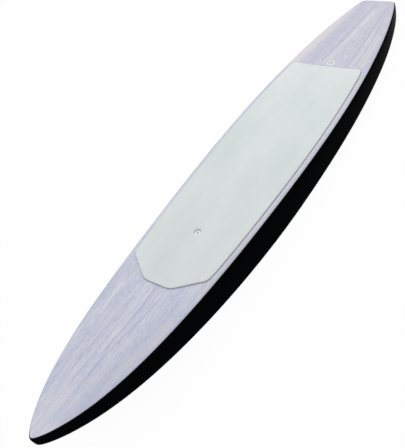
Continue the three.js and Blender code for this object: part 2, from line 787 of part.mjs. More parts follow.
addPiece('foam_core', foamCore, blankFoam);
addPiece('bottom_foam_sheet', without(bottomSheet, trackBlockPrism(fitGap), handlePocket), sheetFoam);
addPiece('track_block', without(trackBlock, ...trackPockets), blockFoam);
addPiece('stance_sheet', stanceSheet, blockFoam);
addPiece('vent_block', without(ventBlock, ventPocket), blockFoam);
addPiece('leash_block', without(leashBlock, leashPocket), blockFoam);
addPiece('deck_foam_sheet', without(deckSheet, ventPocket, leashPocket), sheetFoam);
addPiece('hull_shell', without(hullShellSolid(), ...trackPockets, handlePocket), blackLaminate);
addPiece('deck_skin', without(deckSkinSolid(), ventPocket, leashPocket), whitewashedWood);
addPiece('pad_base_layer', padLayer(padSeatGap, padBaseTop), darkEva);
addPiece('pad_top_layer', padLayer(padTopBottom, padTopBottom + padTopThickness), paleEva);

for (const [sideName, side] of trackSides) {
  addPiece(`foil_track_${sideName}`, trackForm(side), blackNylon);
  addPiece(`track_nut_${sideName}_front`, nutForm(side, 1), brass);
  addPiece(`track_nut_${sideName}_rear`, nutForm(side, -1), brass);
}

addPiece('vent_housing', solidFrom(ventHousingForm), whitePlastic, ventSeat);
addPiece('vent_membrane', solidFrom(ventMembraneForm), whiteMembrane, ventSeat);
addPiece('vent_o_ring', solidFrom(ventRingForm), blackRubber, ventSeat);
addPiece('vent_screw', without(solidFrom(ventScrewForm), solidFrom(ventSocketForm)), whitePlastic, ventSeat);

const pinHole = solidFrom(leashPinForm(fitGap));
addPiece('leash_cup', without(solidFrom(leashCupForm), pinHole), greyPlastic, leashSeat);
addPiece('leash_pin', solidFrom(leashPinForm(0)), stainless, leashSeat);

addPiece('handle_tub', handleTubSolid(), blackNylon);
addPiece('handle_grip', handleGripSolid(), blackRubber);
gripEnds.forEach(([endName], index) => {
  addPiece(`handle_screw_${endName}`, gripScrew(gripScrewPlaces[index]), stainless);
});

export default board;
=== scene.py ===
# A downwind foil board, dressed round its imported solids.
# Metres: +X runs to the nose, +Y to port, +Z up, and z = 0 is the flat of the bottom.
import math

import bmesh
import bpy
import numpy as np
from mathutils import Matrix, Vector


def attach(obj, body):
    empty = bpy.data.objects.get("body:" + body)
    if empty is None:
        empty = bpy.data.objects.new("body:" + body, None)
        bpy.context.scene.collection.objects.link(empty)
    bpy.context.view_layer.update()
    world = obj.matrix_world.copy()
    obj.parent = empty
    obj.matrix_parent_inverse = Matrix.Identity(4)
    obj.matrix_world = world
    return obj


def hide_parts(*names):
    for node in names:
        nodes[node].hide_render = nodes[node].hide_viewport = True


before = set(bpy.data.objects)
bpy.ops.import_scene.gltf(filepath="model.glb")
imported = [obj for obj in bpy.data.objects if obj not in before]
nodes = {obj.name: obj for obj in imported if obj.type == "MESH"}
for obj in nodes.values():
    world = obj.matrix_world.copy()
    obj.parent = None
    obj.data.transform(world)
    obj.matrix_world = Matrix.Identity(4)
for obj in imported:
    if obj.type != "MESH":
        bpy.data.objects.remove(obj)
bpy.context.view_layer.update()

# Bottom and rails: one shell of carbon and glass laminate round the foam, up to the paint line on
# the rounded shoulder. It is filled, sprayed gloss black and polished, with holes for the tracks
# and the carry handle.
MM = 0.001
LENGTH = 2417 * MM
WIDTH = 457 * MM
TAIL_WIDTH = 149.5 * MM
TAIL_ROUND, TAIL_CORNER_POWER = 11 * MM, 0.75
TAIL_X, NOSE_X = -LENGTH / 2, LENGTH / 2
WIDEST_X = -122.7 * MM
REAR_POWER, REAR_FULLNESS = 2.165, 0.806
NOSE_POWER, NOSE_FULLNESS, NOSE_DRAW_IN = 4.08, 0.858, 0.668
NOSE_TIP_TRIM = 10.5 * MM
SHOULDER_TAIL, SHOULDER_NOSE = 88.2 * MM, 183.3 * MM
NOSE_LIFT, NOSE_LIFT_LENGTH = 22.2 * MM, 964.5 * MM
TAIL_KICK, TAIL_KICK_LENGTH, TAIL_KICK_POWER = 21.1 * MM, 308.5 * MM, 1.6
NOSE_ROCKER, NOSE_ROCKER_LENGTH, NOSE_ROCKER_POWER = 159.3 * MM, 1208.5 * MM, 1.77
DECK_DISH = 5 * MM
FULL_THICKNESS = 130 * MM
SHOULDER_TUCK, BOTTOM_TUCK = 3.6 * MM, 5.6 * MM
RAIL_LEGS = (20 * MM, 45 * MM, 14 * MM)
SKIN = 2.5 * MM
FIT_GAP = 0.3 * MM
PAINT_SEAM = 0.02 * MM
LEAST_HALF_WIDTH = 0.1 * MM


def blend(start, end, share):
    """The point or value at a share of the way from start to end."""
    return start + (end - start) * share


def nose_share(x):
    """The nose's share of the full width: (1 - ahead^p)^q, drawn in by a share of
    ahead^2 (1 - ahead), with its point beyond the tip."""
    ahead = np.clip((x - WIDEST_X) / (NOSE_X + NOSE_TIP_TRIM - WIDEST_X), 0, 1)
    return (1 - ahead**NOSE_POWER) ** NOSE_FULLNESS * (1 - NOSE_DRAW_IN * ahead**2 * (1 - ahead))


def half_width(x):
    """Half the plan width at x. Behind the widest station it is the tail's half-width plus the
    rest times (1 - back^p)^q. Ahead of it, the nose's share has the tip's share taken off in
    squares, which rounds the tip."""
    back = np.clip((WIDEST_X - x) / (WIDEST_X - TAIL_X), 0, 1)
    rear = blend(TAIL_WIDTH / 2, WIDTH / 2, (1 - back**REAR_POWER) ** REAR_FULLNESS)
    tip = nose_share(NOSE_X) ** 2
    nose = WIDTH / 2 * np.sqrt(np.maximum(0, nose_share(x) ** 2 - tip) / (1 - tip))
    return np.where(x < WIDEST_X, rear, nose)


def shoulder_height(x):
    """A straight rise from tail to nose, plus a parabola over the nose."""
    lift = np.clip((x - NOSE_X + NOSE_LIFT_LENGTH) / NOSE_LIFT_LENGTH, 0, 1) ** 2
    return blend(SHOULDER_TAIL, SHOULDER_NOSE, (x - TAIL_X) / LENGTH) + NOSE_LIFT * lift


def bottom_height(x):
    """Flat under the rider, with a power curve up to the tail and one up to the nose."""
    kick = np.clip((TAIL_X + TAIL_KICK_LENGTH - x) / TAIL_KICK_LENGTH, 0, 1)
    rocker = np.clip((x - NOSE_X + NOSE_ROCKER_LENGTH) / NOSE_ROCKER_LENGTH, 0, 1)
    return TAIL_KICK * kick**TAIL_KICK_POWER + NOSE_ROCKER * rocker**NOSE_ROCKER_POWER


def thickness_share(x):
    """The board's thickness at x as a share of its full thickness."""
    return (shoulder_height(x) - bottom_height(x)) / FULL_THICKNESS


def deck_half_width(x):
    """Half-width of the dished part of the deck, inside the rounded shoulders."""
    inset = (SHOULDER_TUCK + RAIL_LEGS[0]) * thickness_share(x)
    return half_width(x / (1 - 2 * inset / LENGTH)) * (1 - 2 * inset / WIDTH)


def deck_height(x, y):
    """The shoulder height less a dish that is (1 - across^2)^2 deep between the deck's edges."""
    edge = np.maximum(deck_half_width(x), LEAST_HALF_WIDTH)
    across = np.clip(np.abs(y) / edge, 0, 1)
    return shoulder_height(x) - DECK_DISH * (2 * edge / WIDTH) * (1 - across**2) ** 2


TAIL_STATIONS, REAR_STATIONS, NOSE_STATIONS = 28, 90, 120
turn = np.linspace(np.pi / 2, 0, TAIL_STATIONS, endpoint=False)
tail_x = TAIL_X + TAIL_ROUND * (1 - np.sin(turn) ** TAIL_CORNER_POWER)
rear_x = np.linspace(TAIL_X + TAIL_ROUND, WIDEST_X, REAR_STATIONS, endpoint=False)
nose_turn = np.linspace(0, np.pi / 2, NOSE_STATIONS)
nose_x = blend(WIDEST_X, NOSE_X, np.sin(nose_turn))
port_x = np.concatenate([tail_x, rear_x, nose_x])
port_y = half_width(port_x)
port_y[:TAIL_STATIONS] *= np.cos(turn) ** TAIL_CORNER_POWER
loop_x = np.concatenate([port_x, port_x[-2:0:-1]])
loop_y = np.concatenate([port_y, -port_y[-2:0:-1]])

upper_share = RAIL_LEGS[1] / math.hypot(SHOULDER_TUCK, FULL_THICKNESS / 2) / 4
lower_share = RAIL_LEGS[1] / math.hypot(BOTTOM_TUCK, FULL_THICKNESS / 2) / 4
knuckle_proud = (SHOULDER_TUCK * upper_share + BOTTOM_TUCK * lower_share) / (1 - upper_share - lower_share)


def rail_ring(corner, share, offset=0.0, shift=0.0):
    """One ring round the rail, at a share along the quadratic curve that rounds corner 0, the
    shoulder, 1, the knuckle, or 2, the bottom edge. The section shrinks with the thickness, and
    the whole outline shrinks towards the middle by the section's inset."""
    scale = thickness_share(loop_x)
    height = scale * FULL_THICKNESS - 2 * offset
    nothing = np.zeros_like(scale)
    path = np.array([
        [(SHOULDER_TUCK + RAIL_LEGS[0]) * scale + RAIL_LEGS[0] + offset, height],
        [SHOULDER_TUCK * scale + offset, height],
        [offset - knuckle_proud * scale, height / 2],
        [BOTTOM_TUCK * scale + offset, nothing],
        [(BOTTOM_TUCK + RAIL_LEGS[2]) * scale + RAIL_LEGS[2] + offset, nothing],
    ])
    leg = RAIL_LEGS[corner] * scale - offset
    before, at, after = path[corner:corner + 3]
    share = share + shift / (leg * math.sqrt(2))

    def towards(other):
        return at + (other - at) * leg / np.linalg.norm(other - at, axis=0)

    start = blend(towards(before), at, share)
    end = blend(at, towards(after), share)
    inset, up = blend(start, end, share)
    x = loop_x * (1 - 2 * inset / LENGTH)
    y = loop_y * (1 - 2 * inset / WIDTH)
    z = blend(bottom_height(x) + offset, deck_height(x, y) - offset, up / height)
    return np.stack([x, y, z], axis=1)


def bottom_ring(share, offset=0.0):
    """A ring of the bottom between the rail's edge, share 1, and the centreline, share 0."""
    x, y, _ = rail_ring(2, 1, offset).T
    return np.stack([x, y * share, bottom_height(x) + offset], axis=1)


SAME_PLACE = 0.001 * MM


def tidy_mesh(mesh):
    """Merges doubled points, drops collapsed faces and turns every face outwards."""
    work = bmesh.new()
    work.from_mesh(mesh)
    bmesh.ops.remove_doubles(work, verts=work.verts, dist=SAME_PLACE)
    bmesh.ops.dissolve_degenerate(work, edges=work.edges, dist=SAME_PLACE)
    bmesh.ops.recalc_face_normals(work, faces=work.faces)
    work.to_mesh(mesh)
    work.free()


def make_piece(name, points, faces):
    """A mesh object from an array of points and a list of faces."""
    mesh = bpy.data.meshes.new(name)
    mesh.from_pydata(points.tolist(), [], faces)
    tidy_mesh(mesh)
    piece = bpy.data.objects.new(name, mesh)
    bpy.context.scene.collection.objects.link(piece)
    return piece


def ring_piece(name, rings):
    """A closed surface of quads between rings. The first and the last ring lie on the centreline,
    where their port and starboard points meet."""
    points = np.concatenate(rings)
    count, around = len(rings), len(rings[0])
    row, column = np.meshgrid(np.arange(count - 1), np.arange(around), indexing="ij")
    next_row, next_column = row + 1, (column + 1) % around
    faces = np.stack([
        row * around + column,
        row * around + next_column,
        next_row * around + next_column,
        next_row * around + column,
    ], axis=-1).reshape(-1, 4)
    return make_piece(name, points, faces.tolist())


def rounded_bar(length, width, radius, steps=16):
    """A plan outline: a rectangle whose corners are quarter circles."""
    quarter = np.linspace(0, np.pi / 2, steps + 1)
    points = []
    for index, (side_x, side_y) in enumerate(((1, 1), (-1, 1), (-1, -1), (1, -1))):
        angle = quarter + index * np.pi / 2
        centre = np.array([side_x * (length / 2 - radius), side_y * (width / 2 - radius)])
        points.append(centre + radius * np.stack([np.cos(angle), np.sin(angle)], axis=1))
    return np.concatenate(points)


def prism(name, outline, low, high, top_outline=None):
    """A plan outline carried up from one height to another, with flat ends. It goes straight up, or
    tapers evenly to a top outline."""
    count = len(outline)
    foot = np.column_stack([outline, np.full(count, low)])
    head = np.column_stack([outline if top_outline is None else top_outline, np.full(count, high)])
    here = np.arange(count)
    after = (here + 1) % count
    walls = np.stack([here, after, count + after, count + here], axis=1).tolist()
    ends = [here.tolist(), (count + here).tolist()]
    return make_piece(name, np.concatenate([foot, head]), walls + ends)


def placed(piece, x=0.0, y=0.0, matrix=None):
    """Moves a piece's mesh, so that its object stays at the origin."""
    piece.data.transform(matrix or Matrix.Translation((x, y, 0)))
    return piece


def combine(piece, others, operation="DIFFERENCE"):
    """Cuts other closed pieces out of this one, or joins them to it, and uses them up."""
    for other in others:
        step = piece.modifiers.new("combine", "BOOLEAN")
        step.solver = "EXACT"
        step.operation = operation
        step.object = other
        graph = bpy.context.evaluated_depsgraph_get()
        piece.data = bpy.data.meshes.new_from_object(piece.evaluated_get(graph))
        piece.modifiers.clear()
        bpy.data.objects.remove(other)
    return piece


def smooth(piece, sharp_degrees=38):
    """Smooth shading that keeps edges sharper than an angle."""
    piece.data.shade_smooth()
    piece.data.set_sharp_from_angle(angle=math.radians(sharp_degrees))
    return piece


def linear(text):
    """The linear value of a colour written as sRGB hex."""
    values = np.array([int(text[i:i + 2], 16) for i in (1, 3, 5)]) / 255
    curve = np.where(values <= 0.04045, values / 12.92, ((values + 0.055) / 1.055) ** 2.4)
    return (*curve.tolist(), 1.0)


def add_node(material, kind, settings=None, **links):
    """Adds one node. Settings are properties or input values. Links name an input, with spaces as
    underscores, or as i and its number, and give the socket that feeds it."""
    node = material.node_tree.nodes.new(kind)
    for key, value in (settings or {}).items():
        if isinstance(key, int) or key in node.inputs:
            node.inputs[key].default_value = value
        else:
            setattr(node, key, value)
    for key, socket in links.items():
        numbered = key[0] == "i" and key[1:].isdigit()
        target = node.inputs[int(key[1:]) if numbered else key.replace("_", " ")]
        material.node_tree.links.new(socket, target)
    return node


def new_material(name):
    """An empty material, and the object's own coordinates in it."""
    material = bpy.data.materials.new(name)
    material.use_nodes = True
    material.node_tree.nodes.clear()
    return material, add_node(material, "ShaderNodeTexCoord").outputs["Object"]


def grain_pattern(material, place, per_metre, detail=3.0, rough=0.55, offset=(0, 0, 0)):
    """A grain: noise with a given number of waves to the metre along each axis."""
    mapping = add_node(
        material, "ShaderNodeMapping", {"Scale": per_metre, "Location": offset}, Vector=place,
    )
    noise = add_node(
        material, "ShaderNodeTexNoise",
        {"Scale": 1.0, "Detail": detail, "Roughness": rough}, Vector=mapping.outputs["Vector"],
    )
    return noise.outputs["Fac"]


# Two-part black polyurethane, sprayed and polished. It has almost no colour of its own, and keeps
# the faint orange peel of sprayed paint. Its reflections are held far below a real gloss, because
# this board's rail shows as an even, deep black from end to end.
PAINT_BLACK = "#050609"
black_gloss, place = new_material("black_polyurethane_gloss")
peel = grain_pattern(black_gloss, place, (90, 90, 90), detail=1.0)
haze = grain_pattern(black_gloss, place, (3, 14, 14), detail=2.0)
haze_range = add_node(black_gloss, "ShaderNodeMapRange", {"To Min": 0.16, "To Max": 0.24}, Value=haze)
peel_bump = add_node(black_gloss, "ShaderNodeBump", {"Strength": 0.08, "Distance": 0.2 * MM}, Height=peel)
shader = add_node(
    black_gloss, "ShaderNodeBsdfPrincipled",
    {"Base Color": linear(PAINT_BLACK), "Specular IOR Level": 0.002},
    Roughness=haze_range.outputs["Result"], Normal=peel_bump.outputs["Normal"],
)
add_node(black_gloss, "ShaderNodeOutputMaterial", Surface=shader.outputs["BSDF"])

hull_shares = [(0, share) for share in np.linspace(0.6, 1, 5)]
hull_shares += [(1, share) for share in np.linspace(0, 1, 13)[1:]]
hull_shares += [(2, share) for share in np.linspace(0, 1, 9)]
bottom_shares = np.linspace(1, 0, 14)[1:]


def hull_rings(offset):
    """The rings of the shell's outer or inner face, from the paint line to the centreline."""
    rings = [rail_ring(0, 0.5, offset, PAINT_SEAM)]
    rings += [rail_ring(corner, share, offset) for corner, share in hull_shares]
    return rings + [bottom_ring(share, offset) for share in bottom_shares]


TRACK_X, TRACK_SPACING = -380 * MM, 90 * MM
FLANGE_LENGTH, FLANGE_WIDTH = 388 * MM, 34 * MM
HANDLE_X = -70 * MM
HANDLE_FLANGE = (184 * MM, 86 * MM, 34 * MM)
HULL_CUT_REACH = 5 * MM
hull = ring_piece("hull_paint_shell", hull_rings(0.0)[::-1] + hull_rings(SKIN))
holes = []
for side in (1, -1):
    plan = rounded_bar(FLANGE_LENGTH + 2 * FIT_GAP, FLANGE_WIDTH + 2 * FIT_GAP, FLANGE_WIDTH / 2 + FIT_GAP)
    hole = prism("hole", plan, -HULL_CUT_REACH, HULL_CUT_REACH)
    holes.append(placed(hole, TRACK_X, side * TRACK_SPACING / 2))
plan = rounded_bar(*(size + grow for size, grow in zip(HANDLE_FLANGE, (2 * FIT_GAP, 2 * FIT_GAP, FIT_GAP))))
holes.append(placed(prism("hole", plan, -HULL_CUT_REACH, HULL_CUT_REACH), HANDLE_X))
combine(hull, holes)
smooth(hull)
hull.data.materials.append(black_gloss)
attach(hull, "board")
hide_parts("hull_shell")

# Deck skin: paulownia veneer under clear laminate, laid in long leaves side by side. It was rubbed
# with white before the clear coat, so the grain shows as pale lavender streaks, and it ends at the
# paint line on the shoulder.
deck_shares = np.linspace(0, 1, 18)


def deck_ring(share, offset=0.0):
    """A ring of the deck between the shoulder, share 1, and the centreline, share 0."""
    x, y, _ = rail_ring(0, 0, offset).T
    return np.stack([x, y * share, deck_height(x, y * share) - offset], axis=1)


def deck_rings(offset):
    """The rings of the skin's outer or inner face, from the centreline to the paint line."""
    rings = [deck_ring(share, offset) for share in deck_shares]
    rings += [rail_ring(0, share, offset) for share in np.linspace(0, 0.42, 6)[1:]]
    return rings + [rail_ring(0, 0.5, offset, -PAINT_SEAM)]


def seat_matrix(x, reach=22 * MM):
    """The place and tilt of a plug that stands square to the deck on the centreline."""
    slope = float(deck_height(x + reach, 0.0) - deck_height(x - reach, 0.0)) / (2 * reach)
    foot = Matrix.Translation((x, 0, float(deck_height(x, 0.0))))
    return foot @ Matrix.Rotation(-math.atan(slope), 4, "Y")


def circle(radius, steps=96):
    """A plan outline: a circle."""
    angle = np.linspace(0, 2 * np.pi, steps, endpoint=False)
    return radius * np.stack([np.cos(angle), np.sin(angle)], axis=1)


VENT_X, VENT_FLANGE_RADIUS = 315 * MM, 12.2 * MM
LEASH_X, LEASH_FLANGE_RADIUS = -721 * MM, 16.5 * MM
DECK_CUT_REACH = 6 * MM
vent_seat, leash_seat = seat_matrix(VENT_X), seat_matrix(LEASH_X)
deck = ring_piece("deck_wood_skin", deck_rings(0.0) + deck_rings(SKIN)[::-1])
holes = []
for radius, seat in ((VENT_FLANGE_RADIUS, vent_seat), (LEASH_FLANGE_RADIUS, leash_seat)):
    hole = prism("hole", circle(radius + FIT_GAP), -DECK_CUT_REACH, DECK_CUT_REACH)
    holes.append(placed(hole, matrix=seat))
combine(deck, holes)
smooth(deck)
EDGE_ATTRIBUTE = "down_the_shoulder"
POINTED_TIP = 0.2 * MM


def mark_shoulder(piece):
    """Stores at each point how far it lies below the shoulder height outside the dished part of the
    deck, as a share of the shoulder's leg: 0 where the rounding starts, 0.25 at the paint line."""
    points = np.empty(3 * len(piece.data.vertices))
    piece.data.vertices.foreach_get("co", points)
    x, y, z = points.reshape(-1, 3).T
    edge = deck_half_width(x)
    drop = (shoulder_height(x) - z) / (RAIL_LEGS[0] * thickness_share(x))
    outside = (np.abs(y) > edge) | (edge < POINTED_TIP)
    marks = piece.data.attributes.new(EDGE_ATTRIBUTE, "FLOAT", "POINT")
    marks.data.foreach_set("value", np.where(outside, drop, 0))


mark_shoulder(deck)

# Paulownia veneer, sanded, rubbed with white and sealed with a satin clear coat: pale, cool and soft
# to the eye. Its tones come from five grains, all lengthwise and a little wavy: leaves a few
# centimetres wide, the patches in which the white was rubbed in, streaks about 7 mm by 140 mm, a
# mottle of 5 mm by 16 mm, and fibres of 2 mm by 28 mm, drawn coarser than real so that they show.
whitewash, place = new_material("whitewashed_paulownia_veneer")
edge_share = add_node(whitewash, "ShaderNodeAttribute", {"attribute_name": EDGE_ATTRIBUTE}).outputs["Fac"]
wave = grain_pattern(whitewash, place, (3.2, 5, 0), detail=1.0)
wave_range = add_node(whitewash, "ShaderNodeMapRange", {"To Min": -7 * MM, "To Max": 7 * MM}, Value=wave)
wave_step = add_node(whitewash, "ShaderNodeCombineXYZ", Y=wave_range.outputs["Result"])
wavy = add_node(
    whitewash, "ShaderNodeVectorMath", {"operation": "ADD"}, i0=place, i1=wave_step.outputs["Vector"],
).outputs["Vector"]
split = add_node(whitewash, "ShaderNodeSeparateXYZ", Vector=wavy)
along, across = split.outputs["X"], split.outputs["Y"]
leaves = grain_pattern(whitewash, wavy, (0.9, 19, 0), detail=2.0, rough=0.5)
streaks = grain_pattern(whitewash, wavy, (7, 140, 0), detail=4.0, rough=0.62, offset=(3, 1, 0))
fibres = grain_pattern(whitewash, wavy, (36, 520, 30), detail=2.0, rough=0.6)
patches = grain_pattern(whitewash, wavy, (9, 34, 0), detail=3.0, rough=0.6, offset=(7, 2, 0))
flecks = grain_pattern(whitewash, wavy, (30, 150, 0), detail=3.0, rough=0.65, offset=(9, 3, 0))
mottle = grain_pattern(whitewash, wavy, (62, 190, 0), detail=2.0, rough=0.7, offset=(4, 8, 0))
dashes = grain_pattern(whitewash, wavy, (17, 210, 0), detail=2.0, rough=0.5, offset=(1, 5, 0))
tone = None
for grain, low, high, weight in (
    (leaves, 0.3, 0.7, 1.0), (patches, 0.3, 0.7, 0.36), (streaks, 0.3, 0.7, 0.5),
    (fibres, 0.25, 0.75, 0.3), (mottle, 0.32, 0.68, 0.26),
):
    spread = add_node(whitewash, "ShaderNodeMapRange", {"From Min": low, "From Max": high}, Value=grain)
    if tone is None:
        tone = spread.outputs["Result"]
        continue
    tone = add_node(
        whitewash, "ShaderNodeMix", {"data_type": "FLOAT", "Factor": weight},
        A=tone, B=spread.outputs["Result"],
    ).outputs["Result"]
ramp = add_node(whitewash, "ShaderNodeValToRGB", Fac=tone)
ramp.color_ramp.elements[0].position, ramp.color_ramp.elements[0].color = 0.26, linear("#b0b7cf")
ramp.color_ramp.elements[1].position, ramp.color_ramp.elements[1].color = 0.76, linear("#dbd9e0")
for position, colour in ((0.44, "#bfc4d6"), (0.58, "#cbcddb")):
    ramp.color_ramp.elements.new(position).color = linear(colour)

# Where the white lies thicker it stands in short pale dashes. The tail is a little greyer.
dash_zone = add_node(
    whitewash, "ShaderNodeMapRange", {"From Min": 0.36, "From Max": 0.58, "To Max": 0.8}, Value=leaves,
)
dash = add_node(
    whitewash, "ShaderNodeMapRange", {"From Min": 0.54, "From Max": 0.68},
    Value=dashes, i4=dash_zone.outputs["Result"],
)
dashed = add_node(
    whitewash, "ShaderNodeMix", {"data_type": "RGBA", 7: linear("#e1dfe5")},
    i0=dash.outputs["Result"], i6=ramp.outputs["Color"],
)
tail_share = add_node(
    whitewash, "ShaderNodeMapRange", {"From Min": -0.45, "From Max": -0.8, "To Max": 0.62}, Value=along,
)
toned = add_node(
    whitewash, "ShaderNodeMix", {"data_type": "RGBA", 7: linear("#bcbbc6")},
    i0=tail_share.outputs["Result"], i6=dashed.outputs[2],
)

# Where the white missed the pores they stay as short grey flecks, mostly towards the tail.
fleck_zone = add_node(
    whitewash, "ShaderNodeMapRange",
    {"From Min": -0.3, "From Max": -0.75, "To Min": 0.06, "To Max": 0.62}, Value=along,
)
fleck = add_node(
    whitewash, "ShaderNodeMapRange", {"From Min": 0.52, "From Max": 0.66},
    Value=flecks, i4=fleck_zone.outputs["Result"],
)
toned = add_node(
    whitewash, "ShaderNodeMix", {"data_type": "RGBA", 7: linear("#a8a6ae")},
    i0=fleck.outputs["Result"], i6=toned.outputs[2],
)


FULL_WIDTH_SHARE, FULL_LENGTH_SHARE = 0.3, 0.75


def band(start, end, half, weight):
    """The weight at each place of a soft straight streak in the plan. It runs from start to end and
    reaches half its width to each side, all in mm, and fades out at its sides and ends."""
    slope = (end[1] - start[1]) / (end[0] - start[0])
    middle, reach = (start[0] + end[0]) / 2 * MM, abs(end[0] - start[0]) / 2 * MM
    centre = add_node(
        whitewash, "ShaderNodeMath",
        {"operation": "MULTIPLY_ADD", 1: -slope, 2: (slope * start[0] - start[1]) * MM}, i0=along,
    )
    off = add_node(whitewash, "ShaderNodeMath", {"operation": "ADD"}, i0=across, i1=centre.outputs[0])
    side = add_node(whitewash, "ShaderNodeMath", {"operation": "ABSOLUTE"}, i0=off.outputs[0])
    side_fade = add_node(
        whitewash, "ShaderNodeMapRange",
        {"interpolation_type": "SMOOTHSTEP", "From Min": half * FULL_WIDTH_SHARE * MM, "From Max": half * MM,
         "To Min": weight, "To Max": 0.0},
        Value=side.outputs[0],
    )
    far = add_node(whitewash, "ShaderNodeMath", {"operation": "SUBTRACT", 1: middle}, i0=along)
    far = add_node(whitewash, "ShaderNodeMath", {"operation": "ABSOLUTE"}, i0=far.outputs[0])
    end_fade = add_node(
        whitewash, "ShaderNodeMapRange",
        {"interpolation_type": "SMOOTHSTEP", "From Min": reach * FULL_LENGTH_SHARE, "From Max": reach,
         "To Min": 1.0, "To Max": 0.0},
        Value=far.outputs[0],
    )
    return add_node(
        whitewash, "ShaderNodeMath", {"operation": "MULTIPLY"},
        i0=side_fade.outputs["Result"], i1=end_fade.outputs["Result"],
    ).outputs[0]


def banded(colour, tint, bands):
    """The colour with a tint mixed in along bands, broken up by the streaks."""
    total = None
    for description in bands:
        weight = band(*description)
        if total is not None:
            weight = add_node(
                whitewash, "ShaderNodeMath", {"operation": "MAXIMUM"}, i0=total, i1=weight,
            ).outputs[0]
        total = weight
    broken = add_node(
        whitewash, "ShaderNodeMapRange",
        {"From Min": 0.3, "From Max": 0.62, "To Min": 0.55, "To Max": 1.0}, Value=streaks,
    )
    share = add_node(
        whitewash, "ShaderNodeMath", {"operation": "MULTIPLY", "use_clamp": True},
        i0=total, i1=broken.outputs["Result"],
    )
    return add_node(
        whitewash, "ShaderNodeMix", {"data_type": "RGBA", 7: linear(tint)}, i0=share.outputs[0], i6=colour,
    ).outputs[2]


# The figure of this board's own veneer: cream sapwood along both edges, pale lines, blue-grey bands,
# the fine dark lines where two leaves meet, and a greyer strip outside the pad on the port side.
CREAM, PALE, BLUE_GREY, LEAF_JOINT, GREY = "#d6d3d1", "#dfdde4", "#abb0c6", "#8d93ad", "#c6c8cb"
colour = banded(toned.outputs[2], CREAM, (
    ((-640, -184), (-1170, -108), 44, 0.8), ((650, 158), (950, 104), 27, 0.6),
    ((1000, -14), (1160, -30), 14, 0.25), ((700, -98), (980, -72), 14, 0.35),
    ((-690, 152), (-940, 124), 9, 0.7), ((-690, 112), (-930, 98), 5, 0.6),
))
colour = banded(colour, PALE, (
    ((574, -4), (840, 8), 7, 0.65), ((590, -131), (770, -118), 7, 0.55), ((840, 66), (1010, 62), 3, 0.7),
    ((-690, 102), (-1010, 84), 4, 0.5), ((-690, 134), (-980, 112), 4, 0.5),
    ((-700, -22), (-1150, 20), 16, 0.4), ((-765, 48), (-783, 48), 5, 0.9),
    ((880, -48), (1100, -30), 4, 0.5), ((620, 100), (800, 92), 4, 0.5), ((985, 5), (1435, 5), 110, 0.34),
))
colour = banded(colour, BLUE_GREY, (
    ((-640, -92), (-1240, -44), 30, 0.35), ((-692, 86), (-1200, 68), 8, 0.55),
    ((550, 7), (890, 5), 5, 0.8), ((590, 55), (860, 23), 5, 0.6), ((640, -60), (900, -52), 5, 0.4),
    ((-690, 122), (-1020, 100), 4, 0.5), ((-690, 142), (-1000, 118), 4, 0.4),
    ((900, 40), (1150, 26), 5, 0.35), ((560, 150), (1180, 62), 62, 0.34),
))
colour = banded(colour, LEAF_JOINT, (
    ((-690, -50), (-1215, 6), 2.6, 0.8), ((780, -22), (1150, -21), 2.0, 0.45),
    ((840, 19), (1140, 18), 2.0, 0.45),
))
colour = banded(colour, GREY, (((-700, 182), (-60, 216), 55, 0.5), ((-180, 216), (600, 182), 55, 0.5)))

# Down the shoulder the deck is painted darker and bluer, a painted shade where the rounding turns
# away from the light. The black paint is masked a little way up over the veneer's edge, further at the tip
# of the nose.
shoulder_painted_shade = add_node(whitewash, "ShaderNodeMapRange", {"From Max": 0.16, "To Max": 0.4}, Value=edge_share)
colour = add_node(
    whitewash, "ShaderNodeMix", {"data_type": "RGBA", 7: linear("#9da0b2")},
    i0=shoulder_painted_shade.outputs["Result"], i6=colour,
).outputs[2]
mask_edge = add_node(
    whitewash, "ShaderNodeMapRange",
    {"From Min": 1.02, "From Max": 1.195, "To Min": 0.19, "To Max": 0.025}, Value=along,
)
over_edge = add_node(
    whitewash, "ShaderNodeMath", {"operation": "SUBTRACT"}, i0=edge_share, i1=mask_edge.outputs["Result"],
)
painted = add_node(
    whitewash, "ShaderNodeMapRange", {"From Min": -0.004, "From Max": 0.004}, Value=over_edge.outputs[0],
)
colour = add_node(
    whitewash, "ShaderNodeMix", {"data_type": "RGBA", 7: linear(PAINT_BLACK)},
    i0=painted.outputs["Result"], i6=colour,
).outputs[2]
fibre_bump = add_node(whitewash, "ShaderNodeBump", {"Strength": 0.12, "Distance": 0.15 * MM}, Height=fibres)
shader = add_node(
    whitewash, "ShaderNodeBsdfPrincipled", {"Roughness": 0.45, "Specular IOR Level": 0.2},
    Base_Color=colour, Normal=fibre_bump.outputs["Normal"],
)
add_node(whitewash, "ShaderNodeOutputMaterial", Surface=shader.outputs["BSDF"])
deck.data.materials.append(whitewash)
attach(deck, "board")
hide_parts("deck_skin")

# Deck pad: two sheets of closed-cell EVA foam glued to the deck and to each other, a dark one below
# and a pale brushed one above, cut with one bevelled edge, so that the dark one shows as a fine line.
# At the vent the pale sheet is pressed down to the deck, and its wall lines the hole.
PAD_REAR, PAD_SIDE_END, PAD_FRONT = -688 * MM, 485 * MM, 567.7 * MM
PAD_FRONT_HALF, PAD_MARGIN, PAD_CORNER_LEG = 59.6 * MM, 30.5 * MM, 22 * MM
PAD_SEAT, PAD_BASE, PAD_GLUE_LINE, PAD_TOP = 0.1 * MM, 3.0 * MM, 0.05 * MM, 2.55 * MM
PAD_HOLE_RADIUS, PAD_COLLAR_WALL = 14 * MM, 2 * MM
PAD_FLARE, PAD_FLARE_DEPTH, PAD_FLARE_INSET, PAD_FLARE_OVERRUN = 2.4 * MM, 2.6 * MM, 0.1 * MM, 0.3 * MM
PAD_CUT_BELOW, PAD_CUT_ABOVE = 5 * MM, 15 * MM
PAD_SHARP_DEGREES = 50


